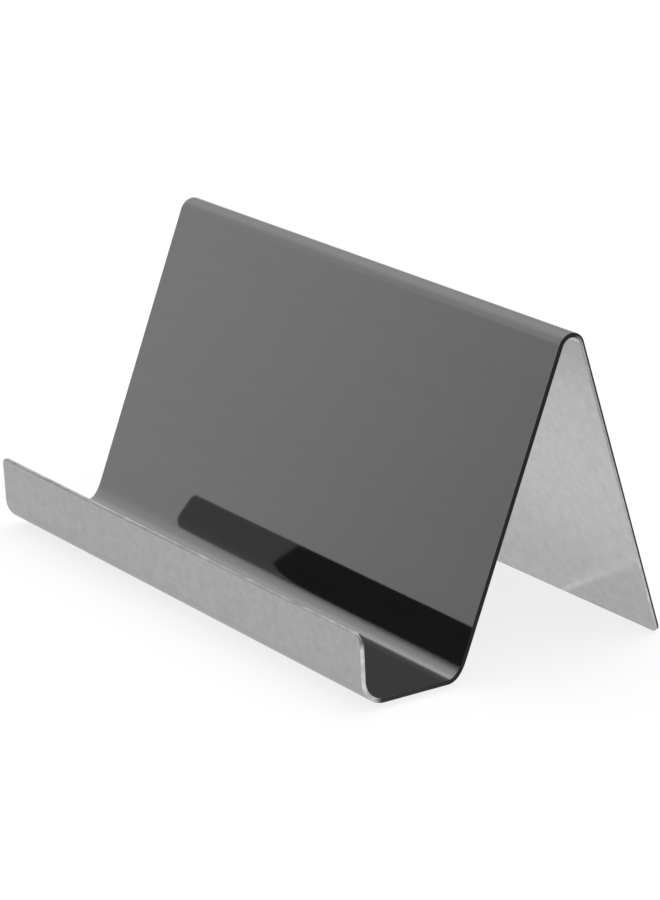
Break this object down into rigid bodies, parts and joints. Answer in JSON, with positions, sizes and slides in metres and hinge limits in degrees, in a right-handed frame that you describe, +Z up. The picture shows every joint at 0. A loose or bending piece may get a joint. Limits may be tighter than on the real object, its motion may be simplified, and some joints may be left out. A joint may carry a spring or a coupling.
{
  "type": "business card holder stand",
  "caption": "Desk stand for business cards, bent from stainless-steel sheet: a low lip, a trough the cards stand in, a leaning panel, a round ridge and a splayed rear leg.",
  "frame": {"origin": "on the desk, under the middle of the sheet's length and depth", "axes": "+X along the folds, to the right as seen from the front; +Y to the back; +Z up"},
  "size_m": [0.095, 0.0558, 0.0492],
  "materials": {
    "stainless_sheet": "mirror-polished on the card side, satin mill finish on the other side",
    "foot_rubber": "matt, die-cut"
  },
  "bodies": {
    "root": {"folded_sheet": "stainless_sheet", "left_rubber_foot": "foot_rubber", "right_rubber_foot": "foot_rubber"}
  },
  "joints": []
}
